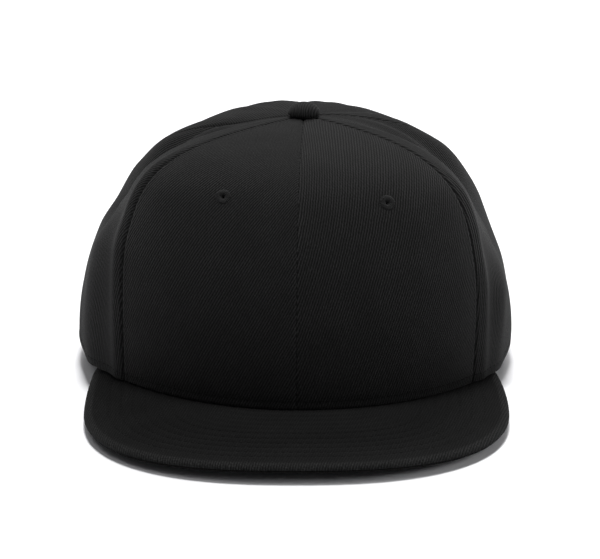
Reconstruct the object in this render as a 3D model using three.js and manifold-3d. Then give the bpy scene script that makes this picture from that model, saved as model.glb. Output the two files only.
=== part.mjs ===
// A structured six-panel cap with a flat peak and a snap strap at the back.
// Millimetres, +Z up, the peak points to -Y, +X is the right-hand side seen from the front.
import * as THREE from 'three';
import { mergeVertices } from 'three/addons/utils/BufferGeometryUtils.js';
import Module from 'manifold-3d';

// Crown: half the width and length of the hem, and the place of the top point
const HEM_HALF_LEFT = 97;
const HEM_HALF_RIGHT = 95.4;
const HEM_HALF_LENGTH = 96.4;
const APEX_RIGHT = 3.2;          // the crown leans a little to the right
const APEX_FORWARD = 4.5;
const APEX_HEIGHT = 113.1;
const HEM_SIDE_HEIGHT = 8.7;     // the hem is raised at the sides and lies on the table at the back
const LEFT_LIFT = 2.6;           // extra height of the hem on the left side

// Cloth
const CLOTH = 1.8;
const GAP = 0.3;                 // between pieces that are sewn or pressed together
const SEAM_DEPTH = 0.8;
const SEAM_HALF_WIDTH = 1.5;
const TOP_SHARE = 0.988;         // the panels end just short of the top, under the button

// Seam azimuths in degrees from the front
const SIDE_SEAM_LEFT = -50.2;
const SIDE_SEAM_RIGHT = 53.2;
const BACK_SEAM = 116;

// Peak: a flat board, arched slightly from side to side
const PEAK_HALF_WIDTH = 91;
const PEAK_LENGTH = 64.6;        // from the front of the hem
const PEAK_SQUARENESS = 2.43;    // exponent of the outline's superellipse
const PEAK_WIDEST_BACK = 15;     // the widest line lies this far behind the front of the hem
const PEAK_CORNER = 65.8;        // azimuth at which the peak's edge meets the hem
const PEAK_CORNER_OVERHANG = 0.6;  // the edge lies this far outside the hem at the corner
const PEAK_ARCH = 2.5;
const PEAK_DROP = 0.6;           // fall from the hem to the front edge
const PEAK_CLEARANCE = 2.8;      // the sides of the peak stay this far above the table
const PEAK_TOP_THICK = 2.2;
const PEAK_UNDER_THICK = 1.1;
const PEAK_THICK = PEAK_TOP_THICK + GAP + PEAK_UNDER_THICK;
const UNDER_INSET = 1;           // the top cover wraps the edge, the under cover stops short of it
const PEAK_EDGE_ROUND = 1;

// Arched opening at the back and the strap across it
const ARCH_HALF_ANGLE = 31;
const ARCH_HEIGHT = 57;
const STRAP_HALF_ANGLE = 39;
const STRAP_HEIGHT = 20;
const STRAP_THICK = 1.4;
const STRAP_DEPTH = CLOTH + GAP; // the strap lies inside the panels
const LAP_FROM = -24;            // the outer strap end covers this much of the inner one, degrees
const LAP_TO = 14;
const LAP_THICK = 1.2;
const PEG_COUNT = 6;
const PEG_PITCH = 6;             // degrees
const PEG_RADIUS = 2.6;
const PEG_HEIGHT = 0.9;

const PANEL_ROWS = 14;           // rows of facets from the hem to the top
const BAND_ROWS = 2;             // the sweatband stands this many rows high
const BAND_THICK = 1.2;
const BAND_END_CLEARANCE = 1;    // degrees between the sweatband and the strap

const BUTTON_RADIUS = 7;
const BUTTON_HEIGHT = 5.6;
const BUTTON_RIM_HEIGHT = 1;       // height of the button's widest line
const BUTTON_FOOT = 0.92;         // radius of its foot as a share of the widest

const EYELET_RADIUS = 3.5;
const EYELET_SLEEVE = 1.6;
const EYELET_HOLE = 0.9;
const EYELET_HEIGHT = 0.8;
const EYELET_GAP = 0.65;         // the flat ring clears the curved cloth by this much

// Meridian of the crown: a cubic curve from the hem to the top for each azimuth.
// lean: how far the start tangent leans out, rise: its height, reach: how far out the top stays
// level. All are shares of the distance from the top point to the hem.
const MERIDIANS = [
  { azimuth: -180, lean: 0.02, rise: 0.61, reach: 0.81 },
  { azimuth: -116, lean: -0.02, rise: 0.6, reach: 0.79 },
  { azimuth: -90, lean: 0.01, rise: 0.56, reach: 0.63 },
  { azimuth: -50, lean: 0.02, rise: 0.83, reach: 1.05 },
  { azimuth: 0, lean: -0.02, rise: 0.78, reach: 0.82 },
  { azimuth: 53, lean: 0.06, rise: 0.73, reach: 1.05 },
  { azimuth: 90, lean: 0.04, rise: 0.47, reach: 0.63 },
  { azimuth: 116, lean: 0.06, rise: 0.61, reach: 0.78 },
  { azimuth: 180, lean: 0.02, rise: 0.61, reach: 0.81 },
];

// Folds of the soft side panels. path: azimuth at the hem, one third, two thirds and the top;
// start and end: shares of the meridian between which the fold shows; width in degrees;
// height: share of FOLD_HEIGHT, outwards if positive.
const FOLD_HEIGHT = 2.6;
const FOLD_FADE_IN = 0.15;       // shares of the meridian over which a fold starts and ends
const FOLD_FADE_OUT = 0.2;
const FOLDS = [
  { path: [-53, -53, -53, -56], start: 0, end: 0.8, width: 2.4, height: 0.5 },
  { path: [-60, -59, -62, -66], start: 0, end: 0.5, width: 4, height: -0.45 },
  { path: [-66, -66, -93, -112], start: 0, end: 0.95, width: 6, height: 0.77 },
  { path: [-90, -92, -105, -118], start: 0.4, end: 0.97, width: 6, height: -0.85 },
  { path: [-114, -114, -113, -118], start: 0.3, end: 0.75, width: 9, height: 0.75 },
  { path: [-84, -84, -100, -114], start: 0.28, end: 1.02, width: 26, height: -2.8 },
  { path: [-90, -90, -100, -112], start: 0.47, end: 1, width: 26, height: 1.2 },
  { path: [57, 57, 57, 60], start: 0, end: 0.7, width: 2.4, height: 0.5 },
  { path: [61, 62, 66, 70], start: 0, end: 0.45, width: 4, height: -0.55 },
  { path: [64, 75, 97, 112], start: 0, end: 0.9, width: 6, height: 0.77 },
  { path: [88, 92, 105, 116], start: 0.38, end: 0.92, width: 6, height: -0.85 },
  { path: [112, 110, 112, 118], start: 0.22, end: 0.7, width: 9, height: 0.4 },
  { path: [84, 84, 104, 122], start: 0.2, end: 1.02, width: 28, height: -1.45 },
  { path: [90, 90, 104, 118], start: 0.42, end: 1, width: 26, height: 0.7 },
];

// Panels between two seams; eyelet: its azimuth and its share of the way from the hem to the top
const PANELS = [
  { name: 'front_panel_left', from: SIDE_SEAM_LEFT, to: 0, columns: 12, eyelet: [-23.9, 0.545] },
  { name: 'front_panel_right', from: 0, to: SIDE_SEAM_RIGHT, columns: 12, eyelet: [28.5, 0.535] },
  { name: 'side_panel_left', from: -BACK_SEAM, to: SIDE_SEAM_LEFT, columns: 18, eyelet: [-84, 0.44] },
  { name: 'side_panel_right', from: SIDE_SEAM_RIGHT, to: BACK_SEAM, columns: 18, eyelet: [92, 0.44] },
  { name: 'back_panel_left', from: -180, to: -BACK_SEAM, columns: 15, eyelet: [-147, 0.57] },
  { name: 'back_panel_right', from: BACK_SEAM, to: 180, columns: 15, eyelet: [147, 0.57] },
];
const SEAMS = [-180, -BACK_SEAM, SIDE_SEAM_LEFT, 0, SIDE_SEAM_RIGHT, BACK_SEAM, 180];

const BLACK_TWILL = 0x26262a;
const BLACK_THREAD = 0x2e2e32;
const BLACK_TAPE = 0x1c1c1f;
const BLACK_PLASTIC = 0x161618;

const radians = THREE.MathUtils.degToRad;
const degrees = THREE.MathUtils.radToDeg;

// Smooth curve through the rows of a table, with slopes that never overshoot
function alongRows(rows, column, azimuth) {
  const places = rows.map((row) => row.azimuth);
  const values = rows.map((row) => row[column]);
  const last = rows.length - 1;
  const rise = (i) => (values[i + 1] - values[i]) / (places[i + 1] - places[i]);
  const slope = (i) => {
    if (i === 0 || i === last) return 0;
    const before = rise(i - 1);
    const after = rise(i);
    return before * after <= 0 ? 0 : (2 * before * after) / (before + after);
  };
  let i = 0;
  while (i < last - 1 && azimuth > places[i + 1]) i += 1;
  const width = places[i + 1] - places[i];
  const u = THREE.MathUtils.clamp((azimuth - places[i]) / width, 0, 1);
  const ease = u * u * (3 - 2 * u);
  const start = u * (1 - u) * (1 - u) * width * slope(i);
  const end = u * u * (1 - u) * width * slope(i + 1);
  return values[i] * (1 - ease) + values[i + 1] * ease + start - end;
}

const smooth = (u) => {
  const v = THREE.MathUtils.clamp(u, 0, 1);
  return v * v * (3 - 2 * v);
};

// Height of the peak's upper face, for a place right of the middle and in front of the hem
function peakHeight(right, forward) {
  const arch = PEAK_ARCH * (1 - (right / PEAK_HALF_WIDTH) ** 2);
  return PEAK_CLEARANCE + PEAK_THICK + arch - (PEAK_DROP * forward) / PEAK_LENGTH;
}

const leftLift = (azimuth) => LEFT_LIFT * smooth(-Math.sin(radians(azimuth)));

// Lower edge of the crown: along the peak in front, then down to the table at the back
function hemPoint(azimuth) {
  const angle = radians(azimuth);
  const half = azimuth < 0 ? HEM_HALF_LEFT : HEM_HALF_RIGHT;
  const x = half * Math.sin(angle);
  const y = -HEM_HALF_LENGTH * Math.cos(angle);
  const away = Math.abs(azimuth);
  const cornerX = half * Math.sin(radians(PEAK_CORNER));
  const cornerForward = HEM_HALF_LENGTH * (Math.cos(radians(PEAK_CORNER)) - 1);
  const heights = [
    { azimuth: PEAK_CORNER, z: peakHeight(cornerX, cornerForward) },
    { azimuth: 90, z: HEM_SIDE_HEIGHT },
    { azimuth: 180, z: 0 },
  ];
  const onPeak = away <= PEAK_CORNER;
  const z = onPeak ? peakHeight(x, -HEM_HALF_LENGTH - y) : alongRows(heights, 'z', away);
  const fade = away > 90 ? (180 - away) / 90 : 1;
  return new THREE.Vector3(x, y, z + GAP * fade + leftLift(azimuth) * fade);
}

const apex = new THREE.Vector3(APEX_RIGHT, -APEX_FORWARD, APEX_HEIGHT);

// Point of the smooth crown, without folds; share runs from 0 at the hem to 1 at the top
function basePoint(azimuth, share) {
  const hem = hemPoint(azimuth);
  const lean = alongRows(MERIDIANS, 'lean', azimuth);
  const rise = alongRows(MERIDIANS, 'rise', azimuth);
  const reach = alongRows(MERIDIANS, 'reach', azimuth);
  const left = 1 - share;
  const weights = [left ** 3, 3 * share * left ** 2, 3 * share ** 2 * left, share ** 3];
  const out = weights[0] + weights[1] * (1 + lean) + weights[2] * reach;
  const up = weights[1] * rise + weights[2] + weights[3];
  return new THREE.Vector3(
    apex.x + (hem.x - apex.x) * out,
    apex.y + (hem.y - apex.y) * out,
    hem.z + (apex.z - hem.z) * up,
  );
}

function baseNormal(azimuth, share) {
  const step = 0.01;
  const low = Math.max(share - step, 0);
  const high = Math.min(share + step, TOP_SHARE);
  const wrap = (a) => (a > 180 ? a - 360 : a < -180 ? a + 360 : a);
  const across = basePoint(wrap(azimuth + 0.5), share).sub(basePoint(wrap(azimuth - 0.5), share));
  const up = basePoint(azimuth, high).sub(basePoint(azimuth, low));
  return across.cross(up).normalize();
}

// Height of all folds at a place, in millimetres along the normal
function foldHeight(azimuth, share) {
  let height = 0;
  for (const fold of FOLDS) {
    const path = fold.path.map((a, i) => ({ azimuth: i / 3, a }));
    const off = (azimuth - alongRows(path, 'a', share)) / fold.width;
    const fadeIn = fold.start === 0 ? 1 : smooth((share - fold.start) / FOLD_FADE_IN);
    const fadeOut = smooth((fold.end - share) / FOLD_FADE_OUT);
    height += fold.height * FOLD_HEIGHT * Math.exp(-off * off) * fadeIn * fadeOut;
  }
  return height;
}

// Distance in millimetres to the nearest seam, measured around the crown
function seamDistance(azimuth, share) {
  const point = basePoint(azimuth, share);
  const radius = Math.hypot(point.x - apex.x, point.y - apex.y);
  const nearest = Math.min(...SEAMS.map((seam) => Math.abs(azimuth - seam)));
  return radius * radians(nearest);
}

// Point in the crown's wall: depth 0 is the outer face
function crownPoint(azimuth, share, depth) {
  let height = foldHeight(azimuth, share) - depth;
  if (depth === 0) {
    height -= SEAM_DEPTH * Math.exp(-((seamDistance(azimuth, share) / SEAM_HALF_WIDTH) ** 2));
  }
  return basePoint(azimuth, share).addScaledVector(baseNormal(azimuth, share), height);
}

// Share of the meridian at which the crown reaches a height above the table
function shareAtHeight(azimuth, height) {
  let low = 0;
  let high = 0.9;
  for (let i = 0; i < 24; i += 1) {
    const middle = (low + high) / 2;
    if (basePoint(azimuth, middle).z < height) low = middle;
    else high = middle;
  }
  return (low + high) / 2;
}

// Closed solid between two grids of points with the same rows and columns
function slab(outer, inner) {
  const rows = outer.length;
  const columns = outer[0].length;
  const points = [...outer.flat(), ...inner.flat()];
  const index = (side, row, column) => side * rows * columns + row * columns + column;
  const faces = [];
  const quad = (a, b, c, d) => faces.push(a, b, c, a, c, d);
  for (let r = 0; r < rows - 1; r += 1) {
    for (let c = 0; c < columns - 1; c += 1) {
      quad(index(0, r, c), index(0, r, c + 1), index(0, r + 1, c + 1), index(0, r + 1, c));
      quad(index(1, r, c), index(1, r + 1, c), index(1, r + 1, c + 1), index(1, r, c + 1));
    }
  }
  const rim = [];
  for (let c = 0; c < columns; c += 1) rim.push([0, c]);
  for (let r = 1; r < rows; r += 1) rim.push([r, columns - 1]);
  for (let c = columns - 2; c >= 0; c -= 1) rim.push([rows - 1, c]);
  for (let r = rows - 2; r > 0; r -= 1) rim.push([r, 0]);
  rim.forEach(([r, c], i) => {
    const [nextR, nextC] = rim[(i + 1) % rim.length];
    quad(index(1, r, c), index(1, nextR, nextC), index(0, nextR, nextC), index(0, r, c));
  });
  const geometry = new THREE.BufferGeometry();
  geometry.setAttribute('position', new THREE.Float32BufferAttribute(
    points.flatMap((point) => point.toArray()), 3));
  geometry.setIndex(faces);
  return geometry;
}

const wasm = await Module();
wasm.setup();

function toManifold(geometry) {
  const bare = geometry.clone();
  bare.deleteAttribute('normal');
  bare.deleteAttribute('uv');
  const merged = mergeVertices(bare, 1e-4);
  return new wasm.Manifold(new wasm.Mesh({
    numProp: 3,
    vertProperties: new Float32Array(merged.attributes.position.array),
    triVerts: new Uint32Array(merged.index.array),
  }));
}

function toGeometry(manifold) {
  const mesh = manifold.getMesh();
  const geometry = new THREE.BufferGeometry();
  geometry.setAttribute('position', new THREE.BufferAttribute(mesh.vertProperties, 3));
  geometry.setIndex(new THREE.BufferAttribute(mesh.triVerts, 1));
  return geometry;
}

// Turned solid from a closed outline of [radius, height] pairs, standing along +Z
function turned(outline, segments) {
  const points = [...outline, outline[0]].map(([radius, z]) => new THREE.Vector2(radius, z));
  const geometry = new THREE.LatheGeometry(points, segments);
  geometry.rotateX(Math.PI / 2);
  return geometry;
}

// Moves a solid that stands along +Z so that it stands on the crown's outer face
function standOn(geometry, azimuth, share) {
  const across = crownPoint(azimuth + 1, share, 0).sub(crownPoint(azimuth - 1, share, 0));
  const up = crownPoint(azimuth, share + 0.01, 0).sub(crownPoint(azimuth, share - 0.01, 0));
  const normal = across.cross(up).normalize();
  const turn = new THREE.Quaternion().setFromUnitVectors(new THREE.Vector3(0, 0, 1), normal);
  geometry.applyQuaternion(turn);
  const place = crownPoint(azimuth, share, 0);
  geometry.translate(place.x, place.y, place.z);
  return geometry;
}

// Column azimuths of a panel; the back panels have a column on the arch's foot
function panelAzimuths(panel) {
  const { from, to, columns } = panel;
  const even = (a, b, count) => Array.from({ length: count + 1 }, (_, i) => a + ((b - a) * i) / count);
  if (Math.abs(from) !== 180 && Math.abs(to) !== 180) return even(from, to, columns);
  const side = Math.sign(from + to);
  const arch = even(0, Math.PI / 2, Math.round(columns * 0.5));
  const inArch = arch.map((a) => side * (180 - ARCH_HALF_ANGLE * Math.sin(a)));
  const foot = side * (180 - ARCH_HALF_ANGLE);
  const beyond = even(foot, side * BACK_SEAM, columns - arch.length + 1).slice(1);
  return [...inArch, ...beyond].sort((a, b) => a - b);
}

// Height of the arch's edge above the table, 0 outside the opening
function archHeight(azimuth) {
  const across = (180 - Math.abs(azimuth)) / ARCH_HALF_ANGLE;
  return across < 1 ? ARCH_HEIGHT * Math.sqrt(1 - across * across) : 0;
}

function panelSolid(panel) {
  const azimuths = panelAzimuths(panel);
  const layer = (depth) => Array.from({ length: PANEL_ROWS + 1 }, (_, row) => azimuths.map((azimuth, i) => {
    const arch = archHeight(azimuth);
    const low = arch > 0 ? shareAtHeight(azimuth, arch) : 0;
    const share = low + ((TOP_SHARE - low) * row) / PANEL_ROWS;
    const point = basePoint(azimuth, share);
    const radius = Math.hypot(point.x - apex.x, point.y - apex.y);
    const clearance = degrees(GAP / 2 / radius);
    const inward = i === 0 ? clearance : i === azimuths.length - 1 ? -clearance : 0;
    return crownPoint(azimuth + inward, share, depth);
  }));
  const wall = toManifold(slab(layer(0), layer(CLOTH)));
  const drill = new THREE.CylinderGeometry(EYELET_SLEEVE + GAP, EYELET_SLEEVE + GAP, CLOTH * 5, 12);
  drill.rotateX(Math.PI / 2);
  return toGeometry(wall.subtract(toManifold(standOn(drill, ...panel.eyelet))));
}

// Stitched ring with a sleeve through the cloth
function eyeletSolid(place) {
  const outline = [
    [EYELET_HOLE, -CLOTH],
    [EYELET_SLEEVE, -CLOTH],
    [EYELET_SLEEVE, EYELET_GAP],
    [EYELET_RADIUS, EYELET_GAP],
    [EYELET_RADIUS * 0.8, EYELET_GAP + EYELET_HEIGHT],
    [EYELET_HOLE, EYELET_GAP + EYELET_HEIGHT * 0.75],
  ];
  return standOn(turned(outline, 12), ...place);
}

function buttonSolid() {
  const steps = 5;
  const dome = Array.from({ length: steps }, (_, i) => {
    const angle = (Math.PI / 2) * (i / steps);
    return [BUTTON_RADIUS * Math.cos(angle), BUTTON_RIM_HEIGHT + (BUTTON_HEIGHT - BUTTON_RIM_HEIGHT) * Math.sin(angle)];
  });
  const outline = [[0, 0], [BUTTON_RADIUS * BUTTON_FOOT, 0], ...dome, [0, BUTTON_HEIGHT]];
  const points = outline.map(([radius, z]) => new THREE.Vector2(radius, z));
  const geometry = new THREE.LatheGeometry(points, 20);
  geometry.rotateX(Math.PI / 2);
  geometry.translate(apex.x, apex.y, apex.z + GAP);
  return toGeometry(toManifold(geometry));
}

// Outline of the peak seen from above, for a share from the left corner to the right one
function peakEdge(share, inset) {
  const side = share < 0.5 ? -1 : 1;
  const away = Math.abs(share - 0.5) * 2;
  const frontShare = 0.8;
  const halfWidth = PEAK_HALF_WIDTH - inset;
  const depth = PEAK_LENGTH + PEAK_WIDEST_BACK - inset;
  const half = side < 0 ? HEM_HALF_LEFT : HEM_HALF_RIGHT;
  const corner = [half * Math.sin(radians(PEAK_CORNER)), HEM_HALF_LENGTH * (Math.cos(radians(PEAK_CORNER)) - 1)];
  let right;
  let forward;
  if (away <= frontShare) {
    const angle = (Math.PI / 2) * (away / frontShare);
    right = halfWidth * Math.sin(angle) ** (2 / PEAK_SQUARENESS);
    forward = depth * Math.max(Math.cos(angle), 0) ** (2 / PEAK_SQUARENESS) - PEAK_WIDEST_BACK;
  } else {
    const back = (away - frontShare) / (1 - frontShare);
    right = halfWidth + (corner[0] + PEAK_CORNER_OVERHANG - halfWidth) * back * back;
    forward = -PEAK_WIDEST_BACK + (corner[1] + PEAK_WIDEST_BACK) * back;
  }
  return { x: side * right, forward };
}

// Point of the peak; out runs from 0 under the hem to 1 at the edge, drop is measured downwards
function peakPoint(across, out, drop, inset) {
  const edge = peakEdge(across, inset);
  const azimuth = (across * 2 - 1) * PEAK_CORNER;
  const hem = hemPoint(azimuth);
  const inward = new THREE.Vector2(hem.x, hem.y).normalize().multiplyScalar(CLOTH);
  const rootX = hem.x - inward.x;
  const rootForward = -HEM_HALF_LENGTH - (hem.y - inward.y);
  const x = rootX + (edge.x - rootX) * out;
  const forward = rootForward + (edge.forward - rootForward) * out;
  const lift = leftLift(azimuth) * (1 - out) ** 2;
  return new THREE.Vector3(x, -HEM_HALF_LENGTH - forward, peakHeight(x, forward) + lift - drop);
}

function peakSolid(top, bottom, inset) {
  const columns = 34;
  const outs = [0, 0.14, 0.3, 0.47, 0.64, 0.8, 0.92, 1];
  const spread = (u) => 0.5 + Math.sign(u - 0.5) * 0.5 * (Math.abs(u - 0.5) * 2) ** 0.9;
  const layer = (drop, rounding) => outs.map((out) => Array.from({ length: columns + 1 }, (_, i) => {
    const shrink = out === 1 ? inset + rounding : inset;
    return peakPoint(spread(i / columns), out, drop, shrink);
  }).reverse());
  return slab(layer(top, PEAK_EDGE_ROUND), layer(bottom, 0));
}

// Sweatband inside the hem, on the same columns and rows as the panels so that it follows them
function bandSolid() {
  const end = 180 - STRAP_HALF_ANGLE - BAND_END_CLEARANCE;
  const columns = PANELS.flatMap((panel) => panelAzimuths(panel)).filter((a) => Math.abs(a) < end);
  const azimuths = [...new Set([-end, ...columns, end])].sort((a, b) => a - b);
  const outerDepth = CLOTH + GAP;
  const layer = (depth) => Array.from({ length: BAND_ROWS + 1 }, (_, row) => (
    azimuths.map((azimuth) => crownPoint(azimuth, (TOP_SHARE * row) / PANEL_ROWS, depth))));
  return slab(layer(outerDepth), layer(outerDepth + BAND_THICK));
}

// Part of the strap between two angles from the middle of the back
function strapPiece(from, to, outerDepth, innerDepth, columns) {
  const layer = (depth) => [0, STRAP_HEIGHT].map((z) => Array.from({ length: columns + 1 }, (_, i) => {
    const turn = from + ((to - from) * i) / columns;
    const azimuth = turn < 0 ? -180 - turn : 180 - turn;
    const point = crownPoint(azimuth, shareAtHeight(azimuth, z), depth);
    return new THREE.Vector3(point.x, point.y, z);
  }).reverse());
  return toManifold(slab(layer(outerDepth), layer(innerDepth)));
}

function strapSolid() {
  const inner = strapPiece(-STRAP_HALF_ANGLE, STRAP_HALF_ANGLE, STRAP_DEPTH, STRAP_DEPTH + STRAP_THICK, 20);
  const lap = strapPiece(LAP_FROM, LAP_TO, STRAP_DEPTH - LAP_THICK, STRAP_DEPTH + STRAP_THICK / 2, 10);
  let strap = inner.add(lap);
  for (let i = 0; i < PEG_COUNT; i += 1) {
    const turn = LAP_FROM + PEG_PITCH * (i + 0.7);
    const azimuth = turn < 0 ? -180 - turn : 180 - turn;
    const face = crownPoint(azimuth, shareAtHeight(azimuth, STRAP_HEIGHT / 2), STRAP_DEPTH - LAP_THICK);
    const peg = new THREE.CylinderGeometry(PEG_RADIUS, PEG_RADIUS, PEG_HEIGHT * 2, 10);
    peg.rotateZ(Math.PI / 2);
    peg.rotateZ(Math.atan2(face.y, face.x));
    peg.translate(face.x, face.y, STRAP_HEIGHT / 2);
    strap = strap.add(toManifold(peg));
  }
  return toGeometry(strap);
}

const cap = new THREE.Group();
cap.name = 'snapback_cap';

function addNode(name, geometry, color, roughness) {
  const mesh = new THREE.Mesh(geometry, new THREE.MeshStandardMaterial({ color, roughness }));
  mesh.name = name;
  cap.add(mesh);
}

for (const panel of PANELS) {
  addNode(panel.name, panelSolid(panel), BLACK_TWILL, 0.9);
}
for (const panel of PANELS) {
  const name = panel.name.replace('panel', 'eyelet');
  addNode(name, eyeletSolid(panel.eyelet), BLACK_THREAD, 0.8);
}
addNode('crown_button', buttonSolid(), BLACK_TWILL, 0.9);
addNode('peak_top', peakSolid(0, PEAK_TOP_THICK, 0), BLACK_TWILL, 0.9);
addNode('peak_underside', peakSolid(PEAK_TOP_THICK + GAP, PEAK_THICK, UNDER_INSET), BLACK_TWILL, 0.9);
addNode('sweatband', bandSolid(), BLACK_TAPE, 0.85);
addNode('snap_strap', strapSolid(), BLACK_PLASTIC, 0.45);

// The origin is the middle of the footprint, on the table
const box = new THREE.Box3().setFromObject(cap);
const middle = box.getCenter(new THREE.Vector3());
for (const mesh of cap.children) mesh.geometry.translate(-middle.x, -middle.y, -box.min.z);

export default cap;
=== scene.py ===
"""A structured six-panel snapback cap on a pale table: cloth, stitching, eyelets and strap in fine detail."""

import math

import bmesh
import bpy
import numpy as np
from bpy.props import FloatProperty, FloatVectorProperty, PointerProperty
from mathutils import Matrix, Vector


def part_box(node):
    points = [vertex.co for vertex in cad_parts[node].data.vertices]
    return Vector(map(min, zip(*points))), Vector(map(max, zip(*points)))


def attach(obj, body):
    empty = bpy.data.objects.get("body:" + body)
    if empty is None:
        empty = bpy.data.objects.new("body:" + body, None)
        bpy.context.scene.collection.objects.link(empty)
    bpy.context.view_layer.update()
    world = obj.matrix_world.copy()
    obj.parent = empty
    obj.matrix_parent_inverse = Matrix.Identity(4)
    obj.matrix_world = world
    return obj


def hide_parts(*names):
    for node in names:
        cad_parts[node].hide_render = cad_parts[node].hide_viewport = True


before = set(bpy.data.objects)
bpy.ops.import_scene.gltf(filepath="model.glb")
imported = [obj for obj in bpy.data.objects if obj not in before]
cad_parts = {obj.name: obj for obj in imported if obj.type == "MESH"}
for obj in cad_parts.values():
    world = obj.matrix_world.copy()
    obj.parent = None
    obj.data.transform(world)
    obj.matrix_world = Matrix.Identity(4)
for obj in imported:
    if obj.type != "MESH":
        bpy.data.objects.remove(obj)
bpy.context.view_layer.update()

bl_info = {
    "name": "Snapback cap",
    "version": (1, 0, 0),
    "blender": (4, 5, 0),
    "location": "3D View > Sidebar > Cap",
    "description": "Builds a six-panel cap with a flat peak, stitching and a snap strap",
    "category": "Add Mesh",
}

MM = 0.001

# Meridian of the crown for each azimuth (degrees from the front, positive to the right):
# lean of the start tangent, its rise, and how far out the top stays level, all as shares
MERIDIANS = (
    (-180, 0.02, 0.61, 0.81),
    (-116, -0.02, 0.60, 0.79),
    (-90, 0.01, 0.56, 0.63),
    (-50, 0.02, 0.83, 1.05),
    (0, -0.02, 0.78, 0.82),
    (53, 0.06, 0.73, 1.05),
    (90, 0.04, 0.47, 0.63),
    (116, 0.06, 0.61, 0.78),
    (180, 0.02, 0.61, 0.81),
)

# Folds of the soft side panels: azimuth at the hem, one third, two thirds and the top;
# start and end as shares of the meridian; width in degrees; height as a share of fold_height
FOLDS = (
    ((-53, -53, -53, -56), 0.00, 0.80, 2.4, 0.50),
    ((-60, -59, -62, -66), 0.00, 0.50, 4.0, -0.15),
    ((-66, -66, -93, -112), 0.00, 0.95, 6.0, 0.77),
    ((-90, -92, -105, -118), 0.40, 0.97, 6.0, -0.85),
    ((-114, -114, -113, -118), 0.30, 0.75, 9.0, 0.75),
    ((-84, -84, -100, -114), 0.28, 1.02, 26.0, -2.80),
    ((-90, -90, -100, -112), 0.47, 1.00, 26.0, 1.20),
    ((57, 57, 57, 60), 0.00, 0.70, 2.4, 0.50),
    ((61, 62, 66, 70), 0.00, 0.45, 4.0, -0.25),
    ((64, 75, 97, 112), 0.00, 0.90, 6.0, 0.77),
    ((88, 92, 105, 116), 0.38, 0.92, 6.0, -0.85),
    ((112, 110, 112, 118), 0.22, 0.70, 9.0, 0.40),
    ((84, 84, 104, 122), 0.20, 1.02, 28.0, -1.45),
    ((90, 90, 104, 118), 0.42, 1.00, 26.0, 0.70),
)
FADE_IN, FADE_OUT = 0.15, 0.2
TOP_SHARE = 0.988  # the panels end just short of the top, under the button

# Small wrinkles of the cloth: waves round the crown, waves up it, phase, height as a share
WRINKLES = (
    (9, 2.5, 0.3, 0.50),
    (14, -4.0, 1.9, 0.35),
    (23, 5.5, 4.1, 0.22),
    (5, 9.0, 2.2, 0.30),
    (31, -9.0, 5.0, 0.14),
)

# Panels: name, eyelet (azimuth, share of the way up), and how far the ribs lean off the meridian
PANELS = (
    ("front_panel_left", (-23.9, 0.545), 27),
    ("front_panel_right", (28.5, 0.535), 22),
    ("side_panel_left", (-84, 0.44), 12),
    ("side_panel_right", (92, 0.44), 12),
    ("back_panel_left", (-147, 0.57), 16),
    ("back_panel_right", (147, 0.57), 16),
)

# Rows of stitches on the peak: distance from its edge in millimetres
PEAK_ROWS = (10.5, 15.75, 21, 26.25, 31.5, 37.8)


def linear(code):
    """Linear red, green, blue and alpha of an sRGB hex colour."""
    parts = [int(code[i : i + 2], 16) / 255 for i in (1, 3, 5)]
    return tuple(p / 12.92 if p <= 0.04045 else ((p + 0.055) / 1.055) ** 2.4 for p in parts) + (1.0,)


def length(label, note, millimetres):
    """A size that a user can change."""
    return FloatProperty(name=label, description=note, default=millimetres * MM, unit="LENGTH", precision=5)


def angle(label, note, degrees):
    """An angle that a user can change."""
    return FloatProperty(name=label, description=note, default=math.radians(degrees), subtype="ANGLE")


def share(label, note, value):
    """A share that a user can change."""
    return FloatProperty(name=label, description=note, default=value, subtype="FACTOR")


def colour(label, note, code):
    """A colour that a user can change."""
    return FloatVectorProperty(name=label, description=note, size=4, subtype="COLOR", default=linear(code))


class CrownSizes(bpy.types.PropertyGroup):
    """Sizes of the crown's cloth."""

    half_left: length("Left half width", "Middle of the hem to its left side", 97)
    half_right: length("Right half width", "Middle of the hem to its right side", 95.4)
    half_length: length("Half length", "Middle of the hem to its front", 96.4)
    top_right: length("Top to the right", "How far the top leans to the right", 3.2)
    top_forward: length("Top forward", "How far the top lies in front of the middle", 4.5)
    height: length("Height", "Top of the cloth above the table", 113.1)
    side_height: length("Side height", "Hem above the table at the sides", 8.7)
    left_lift: length("Left lift", "Extra height of the hem on the left", 2.6)
    cloth: length("Cloth", "Thickness of the panels", 1.8)
    gap: length("Sewn gap", "Space between pieces that are sewn together", 0.3)
    seam_left: angle("Left seam", "Azimuth of the seam left of the front panels", -50.2)
    seam_right: angle("Right seam", "Azimuth of the seam right of the front panels", 53.2)
    seam_back: angle("Back seams", "Azimuth of the seams behind the side panels", 116)
    seam_depth: length("Seam depth", "Depth of the groove along a seam", 0.55)
    seam_width: length("Seam width", "Half width of the groove along a seam", 0.6)
    fold_height: length("Fold height", "Height of the side panels' highest fold", 2.6)
    wrinkle_height: length("Wrinkle height", "Height of the cloth's small wrinkles", 0.5)
    arch_angle: angle("Opening angle", "Half the opening at the back", 31)
    arch_height: length("Opening height", "Height of the opening at the back", 57)
    hem_row: length("Hem row", "Row of stitches above the hem", 3.6)
    arch_row: length("Opening row", "Row of stitches round the back opening", 5)


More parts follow.
